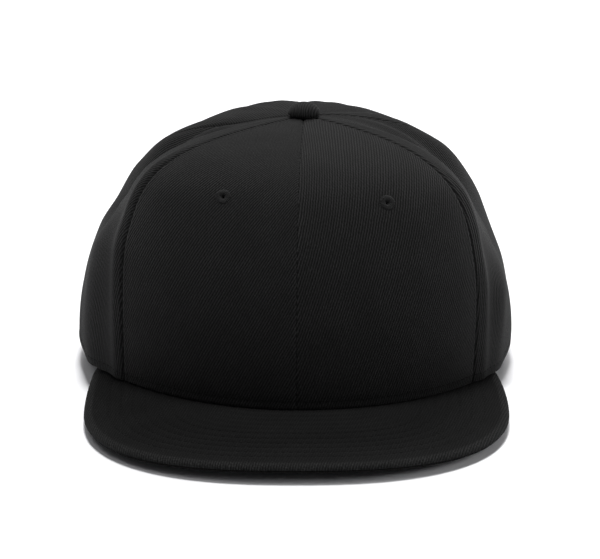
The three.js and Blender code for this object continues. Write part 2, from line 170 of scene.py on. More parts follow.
class PeakSizes(bpy.types.PropertyGroup):
    """Sizes of the peak."""

    half_width: length("Half width", "Middle to the side of the peak", 91)
    length: length("Length", "Front of the hem to the edge", 64.6)
    squareness: FloatProperty(name="Squareness", description="Exponent of the outline", default=2.43)
    widest_back: length("Widest line", "Widest line behind the front of the hem", 15)
    corner: angle("Corner", "Azimuth where the edge meets the hem", 65.8)
    corner_overhang: length("Corner overhang", "Edge outside the hem at the corner", 0.6)
    arch: length("Arch", "Middle above the sides", 2.5)
    drop: length("Drop", "Fall from the hem to the front edge", 0.6)
    clearance: length("Clearance", "Sides of the peak above the table", 2.8)
    top_thick: length("Top thickness", "Board and its upper cover", 2.2)
    under_thick: length("Under thickness", "Lower cover", 1.1)
    under_inset: length("Under inset", "Lower cover stops short of the edge", 1)
    roll: length("Rolled edge", "Width over which the cover rolls down to the edge", 3.8)
    row_depth: length("Row depth", "Depth of the channel along a row of stitches", 0.07)
    row_width: length("Row width", "Half width of that channel", 0.7)


class TrimSizes(bpy.types.PropertyGroup):
    """Sizes of the stitches, eyelets, button, band and strap."""

    stitch_pitch: length("Stitch pitch", "From one stitch to the next", 3.1)
    stitch_length: length("Stitch length", "Length of one stitch", 2.5)
    stitch_width: length("Thread", "Width of the thread", 0.45)
    seam_pitch: length("Seam pitch", "From one seam stitch to the next", 3.5)
    button_radius: length("Button radius", "Radius of the top button", 7)
    button_height: length("Button height", "Height of the top button", 5.6)
    button_rim: length("Button rim", "Height of the button's widest line", 1)
    eyelet_ring: length("Eyelet ring", "Radius of the middle of the sewn ring", 2.3)
    eyelet_thread: length("Eyelet thread", "Width of the ring's thread", 0.5)
    eyelet_hole: length("Eyelet hole", "Radius of the hole", 0.7)
    band_share: share("Band height", "Height of the sweatband as a share of the meridian", 0.141)
    band_thick: length("Band thickness", "Thickness of the sweatband", 1.2)
    band_angle: angle("Band end", "Angle left open at the back", 40)
    strap_angle: angle("Strap angle", "Half the angle that the strap spans", 39)
    strap_height: length("Strap height", "Height of the strap", 20)
    strap_thick: length("Strap thickness", "Thickness of the strap", 1.4)
    lap_from: angle("Lap start", "Start of the overlapping end", -24)
    lap_to: angle("Lap end", "Tip of the overlapping end", 14)
    lap_thick: length("Lap thickness", "How far the overlapping end stands out", 1.2)
    peg_radius: length("Peg radius", "Radius of a snap peg", 2.5)
    peg_height: length("Peg height", "Height of a snap peg", 0.9)
    peg_pitch: angle("Peg pitch", "Angle from one peg to the next", 6)


class CapFinish(bpy.types.PropertyGroup):
    """Colours and weave."""

    yarn: colour("Yarn", "Face of the crown's ribs", "#212121")
    # Painted shade: the grooves are coloured darker than the yarn, standing for the shade between the ribs
    groove: colour("Groove", "Between the crown's ribs", "#050505")
    lint: colour("Lint", "Loose fibres on the cloth", "#282827")
    # Painted shade: the peak's yarn is darker than the crown's, standing for the crown's shade over the peak;
    # the underside uses it too
    shaded_peak_yarn: colour("Peak yarn", "Face of the peak's ribs", "#131313")
    # Painted shade: darker than the yarn, for the dimples where the stitches pull into the cloth
    thread: colour("Thread", "Stitching", "#080808")
    floss: colour("Floss", "Eyelets", "#1c1c1c")
    tape: colour("Tape", "Sweatband", "#111112")
    plastic: colour("Plastic", "Snap strap", "#0d0d0e")
    table: colour("Table", "The pale table", "#f4f4f6")
    rib_pitch: length("Rib pitch", "From one rib of the twill to the next", 1.1)


def crown():
    return bpy.context.scene.cap_crown


def peak():
    return bpy.context.scene.cap_peak


def trim():
    return bpy.context.scene.cap_trim


def finish():
    return bpy.context.scene.cap_finish


# Shape of the crown


def smooth(u):
    v = np.clip(u, 0, 1)
    return v * v * (3 - 2 * v)


def dip(distance, width):
    """A rounded bump of height 1 round distance 0."""
    return np.exp(-((distance / width) ** 2))


def along(places, values, at):
    """Smooth curve through a table's rows, with slopes that never overshoot."""
    places, values = np.asarray(places, float), np.asarray(values, float)
    width = np.diff(places)
    rise = np.diff(values) / width
    before, after = rise[:-1], rise[1:]
    both = np.where(before * after > 0, before + after, 1)
    slope = np.zeros(len(places))
    slope[1:-1] = np.where(before * after > 0, 2 * before * after / both, 0)
    i = np.clip(np.searchsorted(places, at) - 1, 0, len(width) - 1)
    u = np.clip((at - places[i]) / width[i], 0, 1)
    ease = u * u * (3 - 2 * u)
    bend = width[i] * (slope[i] * u * (1 - u) ** 2 - slope[i + 1] * u * u * (1 - u))
    return values[i] * (1 - ease) + values[i + 1] * ease + bend


def peak_thick():
    return peak().top_thick + crown().gap + peak().under_thick


def peak_height(right, forward):
    """Height of the peak's upper face, right of the middle and in front of the hem."""
    arch = peak().arch * (1 - (right / peak().half_width) ** 2)
    return peak().clearance + peak_thick() + arch - peak().drop * forward / peak().length


def left_lift(azimuth):
    return crown().left_lift * smooth(-np.sin(np.radians(azimuth)))


def corner_place(half):
    """Where the peak's edge meets the hem: right of the middle, and in front of the hem."""
    return half * math.sin(peak().corner), crown().half_length * (math.cos(peak().corner) - 1)


def hem_point(azimuth):
    """Lower edge of the crown: along the peak in front, then down to the table at the back."""
    azimuth = np.asarray(azimuth, float)
    turn, away = np.radians(azimuth), np.abs(azimuth)
    corner = math.degrees(peak().corner)
    halves = crown().half_left, crown().half_right
    side = [
        along((corner, 90, 180), (peak_height(*corner_place(half)), crown().side_height, 0), away)
        for half in halves
    ]
    x = np.where(azimuth < 0, *halves) * np.sin(turn)
    y = -crown().half_length * np.cos(turn)
    z = np.where(away <= corner, peak_height(x, -crown().half_length - y), np.where(azimuth < 0, *side))
    fade = np.where(away > 90, (180 - away) / 90, 1)
    return np.stack([x, y, z + (crown().gap + left_lift(azimuth)) * fade], -1)


def top_point():
    return np.array([crown().top_right, -crown().top_forward, crown().height])


def base_point(azimuth, share):
    """Point of the smooth crown; share runs from 0 at the hem to 1 at the top."""
    azimuth, share = np.broadcast_arrays(np.asarray(azimuth, float), np.asarray(share, float))
    hem, top = hem_point(azimuth), top_point()
    places = [row[0] for row in MERIDIANS]
    lean, rise, reach = (along(places, [row[i] for row in MERIDIANS], azimuth) for i in (1, 2, 3))
    left = 1 - share
    w0, w1, w2, w3 = left**3, 3 * share * left**2, 3 * share**2 * left, share**3
    out = w0 + w1 * (1 + lean) + w2 * reach
    up = w1 * rise + w2 + w3
    flat = top[:2] + (hem[..., :2] - top[:2]) * out[..., None]
    return np.concatenate([flat, (hem[..., 2] + (top[2] - hem[..., 2]) * up)[..., None]], -1)


def unit(vectors):
    return vectors / np.maximum(np.linalg.norm(vectors, axis=-1, keepdims=True), 1e-12)


def wrapped(azimuth):
    return (np.asarray(azimuth, float) + 180) % 360 - 180


def base_normal(azimuth, share):
    low, high = np.maximum(share - 0.01, 0), np.minimum(share + 0.01, TOP_SHARE)
    across = base_point(wrapped(azimuth + 0.5), share) - base_point(wrapped(azimuth - 0.5), share)
    return unit(np.cross(across, base_point(azimuth, high) - base_point(azimuth, low)))


def fold_height(azimuth, share):
    """Height of the large folds along the normal."""
    height = 0
    for path, start, end, width, tall in FOLDS:
        off = azimuth - along((0, 1 / 3, 2 / 3, 1), path, share)
        fade_in = 1 if start == 0 else smooth((share - start) / FADE_IN)
        height = height + tall * dip(off, width) * fade_in * smooth((end - share) / FADE_OUT)
    return height * crown().fold_height


def wrinkle(azimuth, share):
    """Height of the small wrinkles, which are lower on the stiff front panels."""
    turn = np.radians(azimuth)
    height = sum(
        tall * np.sin(round_count * turn + up * share + phase + 0.8 * np.sin(3 * share + turn))
        for round_count, up, phase, tall in WRINKLES
    )
    soft = 0.18 + 0.82 * smooth((np.abs(azimuth) - 52) / 14)
    return height * soft * crown().wrinkle_height * smooth(share / 0.04) * smooth((1 - share) / 0.2)


def seams():
    left, right, back = (math.degrees(s) for s in (crown().seam_left, crown().seam_right, crown().seam_back))
    return -180, -back, left, 0, right, back, 180


def seam_distance(azimuth, point):
    """Distance to the nearest seam, measured around the crown."""
    nearest = np.min([np.abs(azimuth - seam) for seam in seams()], axis=0)
    return np.hypot(*np.moveaxis(point[..., :2] - top_point()[:2], -1, 0)) * np.radians(nearest)


def hem_distance(azimuth, share):
    """Distance above the hem, along the cloth, near the hem."""
    rise = along([row[0] for row in MERIDIANS], [row[2] for row in MERIDIANS], azimuth)
    return 3 * share * rise * (crown().height - hem_point(azimuth)[..., 2])


def arch_distance(azimuth, height):
    """Distance outside the back opening's edge."""
    tall, wide = crown().arch_height, math.degrees(crown().arch_angle)
    off = np.hypot((180 - np.abs(azimuth)) / wide, height / tall)
    return (off - 1) * tall


def relief(azimuth, share, point):
    """Height of seams, stitched rows, folds and wrinkles on the crown's outer face."""
    seam = seam_distance(azimuth, point)
    height = fold_height(azimuth, share) + wrinkle(azimuth, share)
    height = height - crown().seam_depth * dip(seam, crown().seam_width)
    height = height - 0.2 * crown().seam_depth * dip(seam, 4 * crown().seam_width)
    height = height + 0.2 * crown().seam_depth * dip(seam - 2.6 * crown().seam_width, crown().seam_width)
    hem = hem_distance(azimuth, share) - crown().hem_row
    arch = arch_distance(azimuth, point[..., 2]) - crown().arch_row
    row = np.maximum(dip(hem, 0.8 * MM), dip(arch, 0.9 * MM))
    return height - 0.25 * MM * row


def crown_point(azimuth, share, depth):
    """Point in the crown's wall; depth 0 is the outer face."""
    height = fold_height(azimuth, share) + wrinkle(azimuth, share) - depth
    return base_point(azimuth, share) + base_normal(azimuth, share) * height[..., None]


def crown_face(azimuth, share, lift=0.0):
    """Point and normal on the finished outer face, lifted off it by a small distance."""
    base, normal = base_point(azimuth, share), base_normal(azimuth, share)
    return base + normal * (relief(azimuth, share, base) + lift)[..., None], normal


def share_at_height(azimuth, height):
    """Share of the meridian at which the crown reaches a height above the table."""
    azimuth, height = np.broadcast_arrays(np.asarray(azimuth, float), np.asarray(height, float))
    low, high = np.zeros(azimuth.shape), np.full(azimuth.shape, 0.9)
    for _ in range(24):
        middle = (low + high) / 2
        under = base_point(azimuth, middle)[..., 2] < height
        low, high = np.where(under, middle, low), np.where(under, high, middle)
    return (low + high) / 2


def arch_share(azimuth):
    """Share at which the cloth starts: 0 at the hem, higher above the back opening."""
    across = (180 - np.abs(azimuth)) / math.degrees(crown().arch_angle)
    edge = crown().arch_height * np.sqrt(np.clip(1 - across**2, 0, 1))
    return np.where(across < 1, share_at_height(azimuth, edge), 0)


def in_row(points):
    """Moves points from the cap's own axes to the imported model's."""
    low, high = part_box("crown_button")
    top = np.array([(low.x + high.x) / 2, (low.y + high.y) / 2, low.z - crown().gap])
    return points + (top - top_point())


# Meshes


def new_object(name, vertices, faces, weave=None, edges=()):
    """A smooth mesh object, with a weave map that gives each point its place on the flat cloth."""
    mesh = bpy.data.meshes.new(name)
    mesh.from_pydata(vertices, list(edges), faces)
    if weave is not None:
        layer = mesh.uv_layers.new(name="weave")
        corners = np.zeros(len(mesh.loops), int)
        mesh.loops.foreach_get("vertex_index", corners)
        layer.data.foreach_set("uv", np.asarray(weave, np.float32)[corners].ravel())
    if faces:
        mesh.polygons.foreach_set("use_smooth", [True] * len(mesh.polygons))
    mesh.update()
    obj = bpy.data.objects.new(name, mesh)
    bpy.context.scene.collection.objects.link(obj)
    return obj


def closed(obj, turn_out=False):
    """Merges points that meet and, if asked, turns every face outwards."""
    work = bmesh.new()
    work.from_mesh(obj.data)
    bmesh.ops.remove_doubles(work, verts=work.verts, dist=1e-7)
    bmesh.ops.dissolve_degenerate(work, edges=work.edges, dist=1e-8)
    if turn_out:
        bmesh.ops.recalc_face_normals(work, faces=work.faces)
    work.to_mesh(obj.data)
    work.free()
    return obj


def shell(name, outer, inner, weave, rolled=None):
    """Closed shell between two grids of points, with an optional mark of where the cloth rolls over an edge,
    which carries a painted highlight.
    """
    rows, columns = outer.shape[:2]
    index = np.arange(rows * columns).reshape(rows, columns)
    a, b, c, d = index[:-1, :-1], index[:-1, 1:], index[1:, 1:], index[1:, :-1]
    front = np.stack([a, b, c, d], -1).reshape(-1, 4)
    back = np.stack([a, d, c, b], -1).reshape(-1, 4) + rows * columns
    rim = np.concatenate([index[0], index[1:, -1], index[-1, -2::-1], index[-2:0:-1, 0]])
    after, under = np.roll(rim, -1), rows * columns
    wall = np.stack([rim + under, after + under, after, rim], -1)
    points = in_row(np.concatenate([outer.reshape(-1, 3), inner.reshape(-1, 3)]))
    flat = np.tile(weave.reshape(-1, 2), (2, 1))
    obj = new_object(name, points, np.concatenate([front, back, wall]).tolist(), flat)
    if rolled is not None:
        mark = obj.data.attributes.new("rolled", "FLOAT", "POINT")
        mark.data.foreach_set("value", np.tile(rolled.ravel(), 2).astype(np.float32))
    return closed(obj)


def turned(name, outline, segments, place=None):
    """Closed shape turned from an outline of (radius, height), which may touch the axis."""
    radius, height = np.array(outline, float).T
    turn = np.linspace(0, 2 * np.pi, segments, endpoint=False)[:, None]
    tall = np.broadcast_to(height, (segments, len(radius)))
    points = np.stack([radius * np.cos(turn), radius * np.sin(turn), tall], -1)
    count = len(radius)
    i, j = np.meshgrid(np.arange(segments), np.arange(count), indexing="ij")
    k, m = (i + 1) % segments, (j + 1) % count
    faces = np.stack([i * count + j, k * count + j, k * count + m, i * count + m], -1).reshape(-1, 4)
    reach = np.concatenate([[0], np.cumsum(np.hypot(np.diff(radius), np.diff(height)))])
    flat = np.stack([reach[-1] - reach + 0 * turn, 0 * reach + turn * radius.max()], -1)
    points = points.reshape(-1, 3)
    if place is not None:
        points = place(points)
    return closed(new_object(name, points, faces.tolist(), flat.reshape(-1, 2)), turn_out=True)


def sweep(name, stations, weave):
    """Closed tube through stations, each a closed ring of points."""
    count, ring = stations.shape[:2]
    i, j = np.meshgrid(np.arange(count - 1), np.arange(ring), indexing="ij")
    k = (j + 1) % ring
    sides = np.stack([i * ring + j, i * ring + k, (i + 1) * ring + k, (i + 1) * ring + j], -1).reshape(-1, 4)
    ends = [list(range(ring))[::-1], list(range((count - 1) * ring, count * ring))]
    obj = new_object(name, stations.reshape(-1, 3), sides.tolist() + ends, weave.reshape(-1, 2))
    return closed(obj, turn_out=True)


def joined(name, parts):
    """One object from several."""
    work = bmesh.new()
    for part in parts:
        work.from_mesh(part.data)
    mesh = bpy.data.meshes.new(name)
    work.to_mesh(mesh)
    work.free()
    for part in parts:
        bpy.data.objects.remove(part)
    obj = bpy.data.objects.new(name, mesh)
    bpy.context.scene.collection.objects.link(obj)
    return obj


def finished(obj, material, slot, *nodes):
    """Gives a piece its material and its place in the frame, and hides the imported parts that it stands for;
    slot is not used.
    """
    obj.data.materials.clear()
    obj.data.materials.append(material)
    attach(obj, "root")
    if nodes:
        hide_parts(*nodes)
    return obj


# Copies along a path, for stitches, eyelet threads and snap pegs


def add(tree, kind, values=None, links=None, **settings):
    """Adds one node with its settings, its sockets' values and the links into it."""
    node = tree.nodes.new(kind)
    for key, value in settings.items():
        setattr(node, key, value)
    for key, value in (values or {}).items():
        node.inputs[key].default_value = value
    for key, source in (links or {}).items():
        tree.links.new(source, node.inputs[key])
    return node


def copies_tree():
    """Node tree that lays copies of a shape along paths, upright on each path's "out" attribute."""
    tree = bpy.data.node_groups.get("copies along a path")
    if tree:
        return tree
    tree = bpy.data.node_groups.new("copies along a path", "GeometryNodeTree")
    sockets = (
        ("Geometry", "NodeSocketGeometry"),
        ("Shape", "NodeSocketObject"),
        ("Pitch", "NodeSocketFloat"),
        ("Sway", "NodeSocketFloat"),
        ("Uneven", "NodeSocketFloat"),
        ("Seed", "NodeSocketInt"),
        ("Material", "NodeSocketMaterial"),
    )
    for name, kind in sockets:
        tree.interface.new_socket(name=name, in_out="INPUT", socket_type=kind)
    tree.interface.new_socket(name="Geometry", in_out="OUTPUT", socket_type="NodeSocketGeometry")
    given = add(tree, "NodeGroupInput").outputs
    curve = add(tree, "GeometryNodeMeshToCurve", links={"Mesh": given["Geometry"]})
    points = add(
        tree,
        "GeometryNodeResampleCurve",
        links={"Curve": curve.outputs[0], "Length": given["Pitch"]},
        mode="LENGTH",
    )
    tangent = add(tree, "GeometryNodeInputTangent")
    out = add(tree, "GeometryNodeInputNamedAttribute", {"Name": "out"}, data_type="FLOAT_VECTOR")
    aimed = add(tree, "FunctionNodeAlignRotationToVector", links={"Vector": tangent.outputs[0]}, axis="X")
    upright = add(
        tree,
        "FunctionNodeAlignRotationToVector",
        links={"Rotation": aimed.outputs[0], "Vector": out.outputs[0]},
        axis="Z",
        pivot_axis="X",
    )
    low = add(tree, "ShaderNodeMath", {1: -1.0}, {0: given["Sway"]}, operation="MULTIPLY")
    sway = add(
        tree,
        "FunctionNodeRandomValue",
        links={2: low.outputs[0], 3: given["Sway"], "Seed": given["Seed"]},
        data_type="FLOAT",
    )
    spin = add(tree, "ShaderNodeCombineXYZ", links={"Z": sway.outputs[1]})
    turned_copy = add(
        tree,
        "FunctionNodeRotateRotation",
        links={"Rotation": upright.outputs[0], "Rotate By": spin.outputs[0]},
        rotation_space="LOCAL",
    )
    least = add(tree, "ShaderNodeMath", {0: 1.0}, {1: given["Uneven"]}, operation="SUBTRACT")
    most = add(tree, "ShaderNodeMath", {0: 1.0}, {1: given["Uneven"]}, operation="ADD")
    size = add(
        tree,
        "FunctionNodeRandomValue",
        links={2: least.outputs[0], 3: most.outputs[0], "Seed": given["Seed"]},
        data_type="FLOAT",
    )
    shape = add(tree, "GeometryNodeObjectInfo", links={"Object": given["Shape"]})
    copies = add(
        tree,
        "GeometryNodeInstanceOnPoints",
        links={
            "Points": points.outputs[0],
            "Instance": shape.outputs["Geometry"],
            "Rotation": turned_copy.outputs[0],
            "Scale": size.outputs[1],
        },
    )
    real = add(tree, "GeometryNodeRealizeInstances", links={"Geometry": copies.outputs[0]})
    dressed = add(
        tree, "GeometryNodeSetMaterial", links={"Geometry": real.outputs[0], "Material": given["Material"]}
    )
    add(tree, "NodeGroupOutput", links={"Geometry": dressed.outputs[0]})
    return tree


def plain_mesh(obj):
    """Turns an object with modifiers into a plain mesh."""
    evaluated = obj.evaluated_get(bpy.context.evaluated_depsgraph_get())
    mesh = bpy.data.meshes.new_from_object(evaluated)
    obj.modifiers.clear()
    obj.data = mesh
    mesh.name = obj.name
    return obj


def copies_along(name, paths, shape, pitch, material, sway=0.0, uneven=0.0):
    """Lays copies of a shape along paths, each a pair of points and outward directions."""
    vertices, outs, edges, start = [], [], [], 0
    for points, out, loop in paths:
        vertices.append(points)
        outs.append(out)
        count = len(points)
        edges += [(start + i, start + i + 1) for i in range(count - 1)]
        edges += [(start + count - 1, start)] if loop else []
        start += count
    obj = new_object(name, np.concatenate(vertices), [], edges=edges)
    attribute = obj.data.attributes.new("out", "FLOAT_VECTOR", "POINT")
    attribute.data.foreach_set("vector", np.concatenate(outs).astype(np.float32).ravel())
    tree = copies_tree()
    given = {i.name: i.identifier for i in tree.interface.items_tree if i.in_out == "INPUT"}
    modifier = obj.modifiers.new("copies", "NODES")
    modifier.node_group = tree
    modifier[given["Shape"]] = shape
    modifier[given["Pitch"]] = pitch
    modifier[given["Sway"]] = sway
    modifier[given["Uneven"]] = uneven
    modifier[given["Seed"]] = 7
    modifier[given["Material"]] = material
    plain_mesh(obj)
    bpy.data.objects.remove(shape)
    if not obj.data.polygons:
        raise RuntimeError(f"{name} came out empty")
    return obj


def stitch_shape(long, wide, sides=6, rings=5):
    """One stitch: thread that dives into the cloth at both ends."""
    place = np.linspace(-1, 1, rings)[:, None]
    turn = np.linspace(0, 2 * np.pi, sides, endpoint=False)[None, :]
    thick = wide / 2 * (1 - 0.45 * place**2)
    arc = -0.45 * wide * place**2
    ring = np.stack([long / 2 * place + 0 * turn, thick * np.cos(turn), thick * 0.8 * np.sin(turn) + arc], -1)
    return sweep("stitch_shape", ring, np.zeros((rings, sides, 2)))


# Materials


def new_material(name):
    material = bpy.data.materials.new(name)
    material.use_nodes = True
    tree = material.node_tree
    tree.nodes.clear()
    return material, tree


def surfaced(tree, shader):
    add(tree, "ShaderNodeOutputMaterial", links={"Surface": shader.outputs[0]})


def band_scale(pitch):
    """Scale of a wave texture whose bands repeat at a pitch in metres."""
    return 2 * math.pi / (20 * pitch)


def woven(name, yarn, groove, pitch, depth, lint, sheen, rough=0.92):
    """Twill of spun yarn: raised diagonal ribs with grooves coloured darker as painted shade, a haze of loose
    fibres, and a painted highlight where the cover rolls over an edge.
    """
    material, tree = new_material(name)
    weave = add(tree, "ShaderNodeUVMap", uv_map="weave").outputs[0]
    ribs = add(
        tree,
        "ShaderNodeTexWave",
        {"Scale": band_scale(pitch), "Distortion": 1.6, "Detail": 2.0, "Detail Scale": 0.7},
        {"Vector": weave},
        bands_direction="X",
    )
    floats = add(
        tree,
        "ShaderNodeTexWave",
        {"Scale": band_scale(pitch * 0.85), "Distortion": 3.0, "Detail": 2.0, "Detail Scale": 1.3},
        {"Vector": weave},
        bands_direction="DIAGONAL",
    )
    fuzz = add(
        tree,
        "ShaderNodeTexNoise",
        {"Scale": 1 / (0.9 * MM), "Detail": 4.0, "Roughness": 0.65},
        {"Vector": weave},
    )
    cloud = add(tree, "ShaderNodeTexNoise", {"Scale": 1 / (16 * MM), "Detail": 3.0}, {"Vector": weave})
    rib = add(
        tree,
        "ShaderNodeMapRange",
        {"From Min": 0.35, "From Max": 0.85},
        {"Value": ribs.outputs["Fac"]},
        interpolation_type="SMOOTHSTEP",
    )
    body = add(tree, "ShaderNodeMath", {1: 0.2}, {0: floats.outputs["Fac"]}, operation="MULTIPLY")
    face = add(tree, "ShaderNodeMath", {1: 0.8}, {0: rib.outputs[0]}, operation="MULTIPLY")
    both = add(tree, "ShaderNodeMath", links={0: body.outputs[0], 1: face.outputs[0]}, operation="ADD")
    # Painted shade: the grooves between the ribs are coloured darker than the ribs' faces
    cloth = add(tree, "ShaderNodeMix", {6: groove, 7: yarn}, {0: both.outputs[0]}, data_type="RGBA")
    fibres = add(
        tree,
        "ShaderNodeMapRange",
        {"From Min": 0.52, "From Max": 0.8, "To Max": lint},
        {"Value": fuzz.outputs["Fac"]},
    )
    hazy = add(
        tree,
        "ShaderNodeMix",
        {7: tuple(finish().lint)},
        {0: fibres.outputs[0], 6: cloth.outputs[2]},
        data_type="RGBA",
    )
    shade, fleck = (
        add(
            tree,
            "ShaderNodeMapRange",
            {"From Min": 0.3, "From Max": 0.7, "To Min": low, "To Max": high},
            {"Value": noise.outputs["Fac"]},
        )
        for noise, low, high in ((cloud, 0.85, 1.15), (fuzz, 0.45, 1.55))
    )
    # Painted highlight: up to 2.3 times lighter where the cover rolls over an edge, standing for the light
    # that its front face catches
    rolled = add(tree, "ShaderNodeAttribute", attribute_name="rolled").outputs["Fac"]
    highlight_and_mottle = add(tree, "ShaderNodeMath", {1: 1.3, 2: 1.0}, {0: rolled}, operation="MULTIPLY_ADD")
    for part in (shade, fleck):
        links = {0: highlight_and_mottle.outputs[0], 1: part.outputs[0]}
        highlight_and_mottle = add(tree, "ShaderNodeMath", links=links, operation="MULTIPLY")
    tone = add(
        tree,
        "ShaderNodeMix",
        {0: 1.0},
        {6: hazy.outputs[2], 7: highlight_and_mottle.outputs[0]},
        data_type="RGBA",
        blend_type="MULTIPLY",
    )
    height = add(
        tree,
        "ShaderNodeMath",
        {1: 0.35},
        {0: fuzz.outputs["Fac"], 2: both.outputs[0]},
        operation="MULTIPLY_ADD",
    )
    bump = add(tree, "ShaderNodeBump", {"Strength": 0.9, "Distance": depth}, {"Height": height.outputs[0]})
    shader = add(
        tree,
        "ShaderNodeBsdfPrincipled",
        {
            "Roughness": rough,
            "Specular IOR Level": 0.06,
            "Sheen Weight": sheen,
            "Sheen Roughness": 0.55,
            "Sheen Tint": linear("#dedede"),
        },
        {"Base Color": tone.outputs[2], "Normal": bump.outputs[0]},
    )
    surfaced(tree, shader)
    return material


def kept(name, make):
    """A material made once and used by several pieces."""
    return bpy.data.materials.get(name) or make(name)


def crown_twill():
    # Wool-blend twill, woven and lightly brushed: matte ribs, soft light edge where the cloth turns away
    c = finish()
    return kept(
        "wool_blend_twill",
        lambda name: woven(name, tuple(c.yarn), tuple(c.groove), c.rib_pitch, 0.28 * MM, 0.3, 0.08),
    )


def peak_twill():
    # The same twill drawn tight over the board, so the ribs lie flatter; its yarn is coloured darker than the
    # crown's, as painted shade from the crown
    c = finish()
    return kept(
        "pressed_twill",
        lambda name: woven(name, tuple(c.shaded_peak_yarn), tuple(c.groove), c.rib_pitch, 0.14 * MM, 0.25, 0.025),
    )


def under_twill():
    # Plain-faced twill under the peak: fine ribs, no brushing, in the peak's darker yarn, which carries
    # painted shade
    c = finish()
    return kept(
        "plain_faced_twill",
        lambda name: woven(name, tuple(c.shaded_peak_yarn), tuple(c.groove), 0.9 * MM, 0.1 * MM, 0.15, 0.02),
    )


def button_twill():
    # Twill stretched over the button's shell: ribs seen from above, a little shinier from the pull
    c = finish()
    return kept(
        "stretched_twill",
        lambda name: woven(name, tuple(c.yarn), tuple(c.groove), c.rib_pitch, 0.2 * MM, 0.3, 0.08, 0.85),
    )


def band_tape():
    # Cotton twill tape of the sweatband: fine close ribs, soft and matte
    c = finish()
    return kept(
        "cotton_tape",
        lambda name: woven(name, tuple(c.tape), tuple(c.groove), 0.8 * MM, 0.1 * MM, 0.2, 0.03),
    )


def thread(name, light, shine):
    """Twisted thread with fine diagonal plies, coloured darker between the plies as painted shade."""

    def make(name):
        material, tree = new_material(name)
        place = add(tree, "ShaderNodeTexCoord").outputs["Object"]
        plies = add(
            tree,
            "ShaderNodeTexWave",
            {"Scale": band_scale(0.35 * MM), "Distortion": 0.6},
            {"Vector": place},
            bands_direction="DIAGONAL",
        )
        # Painted shade: darker between the plies
        tone = add(
            tree,
            "ShaderNodeMix",
            {6: linear("#050505"), 7: light},
            {0: plies.outputs["Fac"]},
            data_type="RGBA",
        )
        bump = add(
            tree,
            "ShaderNodeBump",
            {"Strength": 0.6, "Distance": 0.06 * MM},
            {"Height": plies.outputs["Fac"]},
        )
        shader = add(
            tree,
            "ShaderNodeBsdfPrincipled",
            {"Roughness": 0.7, "Specular IOR Level": 0.08, "Sheen Weight": shine},
            {"Base Color": tone.outputs[2], "Normal": bump.outputs[0]},
        )
        surfaced(tree, shader)
        return material

    return kept(name, make)


def sewing_thread():
    # Polyester sewing thread, coloured darker than the twill round it: painted shade for the dimples where it
    # pulls into the cloth
    return thread("polyester_thread", tuple(finish().thread), 0.01)


def eyelet_thread():
    # Loose embroidery floss of the eyelets: soft, as light as the brushed cloth
    return thread("cotton_floss", tuple(finish().floss), 0.08)


def strap_plastic():
    # Injection-moulded polyethylene: satin skin with a faint mould grain and light rub marks
    def make(name):
        material, tree = new_material(name)
        place = add(tree, "ShaderNodeTexCoord").outputs["Object"]
        grain = add(tree, "ShaderNodeTexNoise", {"Scale": 1 / (0.5 * MM), "Detail": 3.0}, {"Vector": place})
        rub = add(tree, "ShaderNodeTexNoise", {"Scale": 1 / (9 * MM), "Detail": 4.0}, {"Vector": place})
        tone = add(
            tree,
            "ShaderNodeMix",
            {6: tuple(finish().plastic), 7: linear("#151517")},
            {0: rub.outputs["Fac"]},
            data_type="RGBA",
        )
        rough = add(
            tree, "ShaderNodeMapRange", {"To Min": 0.36, "To Max": 0.52}, {"Value": rub.outputs["Fac"]}
        )
        bump = add(
            tree,
            "ShaderNodeBump",
            {"Strength": 0.35, "Distance": 0.05 * MM},
            {"Height": grain.outputs["Fac"]},
        )
        shader = add(
            tree,
            "ShaderNodeBsdfPrincipled",
            {"IOR": 1.51},
            {"Base Color": tone.outputs[2], "Roughness": rough.outputs[0], "Normal": bump.outputs[0]},
        )
        surfaced(tree, shader)
        return material

    return kept("moulded_polyethylene", make)


def table_paper():
    # Matte backdrop paper: almost even, with a faint tooth
    def make(name):
        material, tree = new_material(name)
        place = add(tree, "ShaderNodeTexCoord").outputs["Object"]
        tooth = add(tree, "ShaderNodeTexNoise", {"Scale": 1 / (4 * MM), "Detail": 3.0}, {"Vector": place})
        tone = add(
            tree,
            "ShaderNodeMix",
            {6: tuple(finish().table), 7: linear("#f8f8f9")},
            {0: tooth.outputs["Fac"]},
            data_type="RGBA",
        )
        shader = add(
            tree,
            "ShaderNodeBsdfPrincipled",
            {"Roughness": 1.0, "Specular IOR Level": 0.0},
            {"Base Color": tone.outputs[2]},
        )
        surfaced(tree, shader)
        return material

    return kept("backdrop_paper", make)


# Pieces


def panel_columns(first, last):
    """Azimuths of a panel's columns, closer together at its seams and round the back opening."""
    even = np.linspace(0, 1, 97)
    if abs(first) < 180 and abs(last) < 180:
        return first + (last - first) * (even - 0.75 * np.sin(2 * np.pi * even) / (2 * np.pi))
    side = np.sign(first + last)
    foot, seam = 180 - math.degrees(crown().arch_angle), math.degrees(crown().seam_back)
    inside = 180 - (180 - foot) * np.sin(np.pi / 2 * np.linspace(0, 1, 57) ** 1.5)
    beyond = foot + (seam - foot) * np.sin(np.pi / 2 * np.linspace(0, 1, 45))
    return np.sort(side * np.concatenate([inside, beyond[1:]]))


